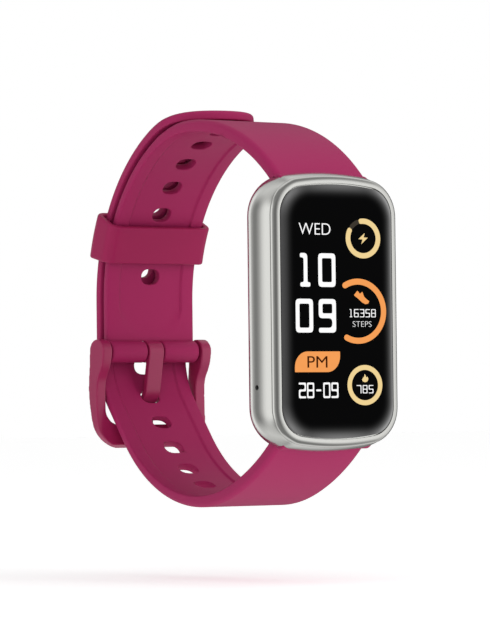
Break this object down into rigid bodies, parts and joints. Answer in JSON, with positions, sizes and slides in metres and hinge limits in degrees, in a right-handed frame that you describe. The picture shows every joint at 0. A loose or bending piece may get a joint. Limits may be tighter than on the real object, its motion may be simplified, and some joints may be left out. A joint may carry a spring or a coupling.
{
  "type": "fitness tracker band",
  "caption": "Wrist-worn activity tracker: a curved pillow case with a glass touch screen on a perforated silicone strap, closed by a buckle and a sliding keeper.",
  "frame": {"origin": "middle of the wrist opening, level with the middle of the case", "axes": "+Z towards the 12 o'clock end of the screen, the screen faces -Y, +X towards the side button, along the wrist"},
  "size_m": [0.0263, 0.0565, 0.0647],
  "materials": {
    "case_metal": "satin anodised, pale champagne",
    "bezel_metal": "satin anodised, pale champagne",
    "cover_glass": "polished, dark behind the glass",
    "adhesive": "matt",
    "display": "polished",
    "flex_film": "amber film",
    "circuit_board": "solder mask",
    "shield_steel": "bright",
    "cell_foil": "foil",
    "black_plastic": "matt",
    "back_plastic": "fine spark texture",
    "sensor_window": "polished, smoked",
    "sensor_chips": "moulded resin",
    "steel": "bright",
    "gold_contacts": "gold plated",
    "strap_silicone": "soft-touch magenta silicone",
    "keeper_silicone": "soft-touch magenta silicone",
    "buckle_plastic": "moulded magenta",
    "tang_plastic": "moulded magenta"
  },
  "bodies": {
    "case": {"case_shell": "case_metal", "bezel_ring": "bezel_metal", "cover_glass": "cover_glass", "display_adhesive": "adhesive", "display_panel": "display", "display_flex": "flex_film", "main_board": "circuit_board", "shield_cans": "shield_steel", "battery": "cell_foil", "vibration_motor": "shield_steel", "microphone": "black_plastic", "microphone_mesh": "black_plastic", "antenna_flex": "flex_film", "back_cover": "back_plastic", "back_gasket": "adhesive", "back_screws": "steel", "sensor_window": "sensor_window", "sensor_board": "circuit_board", "sensor_leds": "sensor_chips", "charging_contacts": "gold_contacts", "button_seal": "adhesive", "button_switch": "black_plastic", "short_strap": "strap_silicone", "long_strap": "strap_silicone", "upper_bar_tube": "steel", "lower_bar_tube": "steel", "upper_bar_spring": "steel", "lower_bar_spring": "steel"},
    "button": {"side_button": "bezel_metal"},
    "upper_tip": {"upper_bar_tip": "steel"},
    "lower_tip": {"lower_bar_tip": "steel"},
    "keeper": {"keeper_loop": "keeper_silicone"},
    "buckle": {"buckle_frame": "buckle_plastic", "buckle_pin": "steel"},
    "tang": {"buckle_tang": "tang_plastic"}
  },
  "joints": [
    {"name": "button_press", "type": "slide", "parent": "case", "child": "button", "axis": [-1, 0, 0], "range_m": [0, 0.00035], "stiffness_N_per_m": 6000},
    {"name": "upper_tip_retract", "type": "slide", "parent": "case", "child": "upper_tip", "axis": [-1, 0, 0], "range_m": [0, 0.0011], "stiffness_N_per_m": 500, "deforming": ["upper_bar_spring"]},
    {"name": "lower_tip_retract", "type": "slide", "parent": "case", "child": "lower_tip", "axis": [-1, 0, 0], "range_m": [0, 0.0011], "stiffness_N_per_m": 500, "deforming": ["lower_bar_spring"]},
    {"name": "keeper_slide", "type": "hinge", "parent": "case", "child": "keeper", "pos_m": [0, -0.00643, 0.00317], "axis": [1, 0, 0], "range_deg": [-10, 28]},
    {"name": "buckle_swing", "type": "hinge", "parent": "case", "child": "buckle", "pos_m": [0, 0.0216, -0.00535], "axis": [1, 0, 0], "range_deg": [-1.5, 1.5]},
    {"name": "tang_swing", "type": "hinge", "parent": "buckle", "child": "tang", "pos_m": [0, 0.0216, -0.00535], "axis": [1, 0, 0], "range_deg": [0, 1]}
  ]
}
